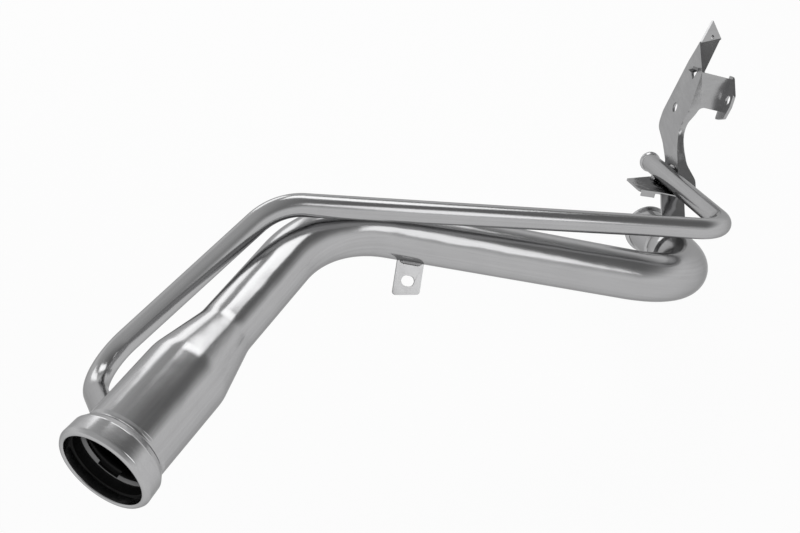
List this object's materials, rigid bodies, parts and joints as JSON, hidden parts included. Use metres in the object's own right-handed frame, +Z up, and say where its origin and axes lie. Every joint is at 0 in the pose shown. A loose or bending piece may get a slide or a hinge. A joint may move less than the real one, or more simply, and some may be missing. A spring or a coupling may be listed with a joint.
{
  "type": "fuel filler neck",
  "caption": "Welded steel filler neck: a wide mouth that tapers to a bent hose tube, with a parallel vent tube, a mounting tab and a pressed support bracket.",
  "frame": {"origin": "centre of the mouth, at the front end of its straight bore", "axes": "+Y runs into the part along the neck's axis, +X towards the hose end, +Z up"},
  "size_m": [0.3271, 0.6574, 0.2125],
  "materials": {
    "drawn_tube": "bright plated drawn tube",
    "vent_tube": "bright plated drawn tube",
    "pressed_head": "bright plated pressed steel",
    "cap_ring": "plated pressed steel",
    "pressed_sheet": "satin plated sheet steel",
    "weld_metal": "plated weld bead"
  },
  "bodies": {
    "root": {"neck_tube": "drawn_tube", "main_pipe": "drawn_tube", "hose_end": "drawn_tube", "filler_head": "pressed_head", "bayonet_ring": "cap_ring", "vent_elbow": "vent_tube", "vent_pipe": "vent_tube", "vent_braze": "weld_metal", "mounting_tab": "pressed_sheet", "tab_welds": "weld_metal", "support_bracket": "pressed_sheet", "vent_shelf": "pressed_sheet", "foot_welds": "weld_metal", "vent_tacks": "weld_metal"}
  },
  "joints": []
}
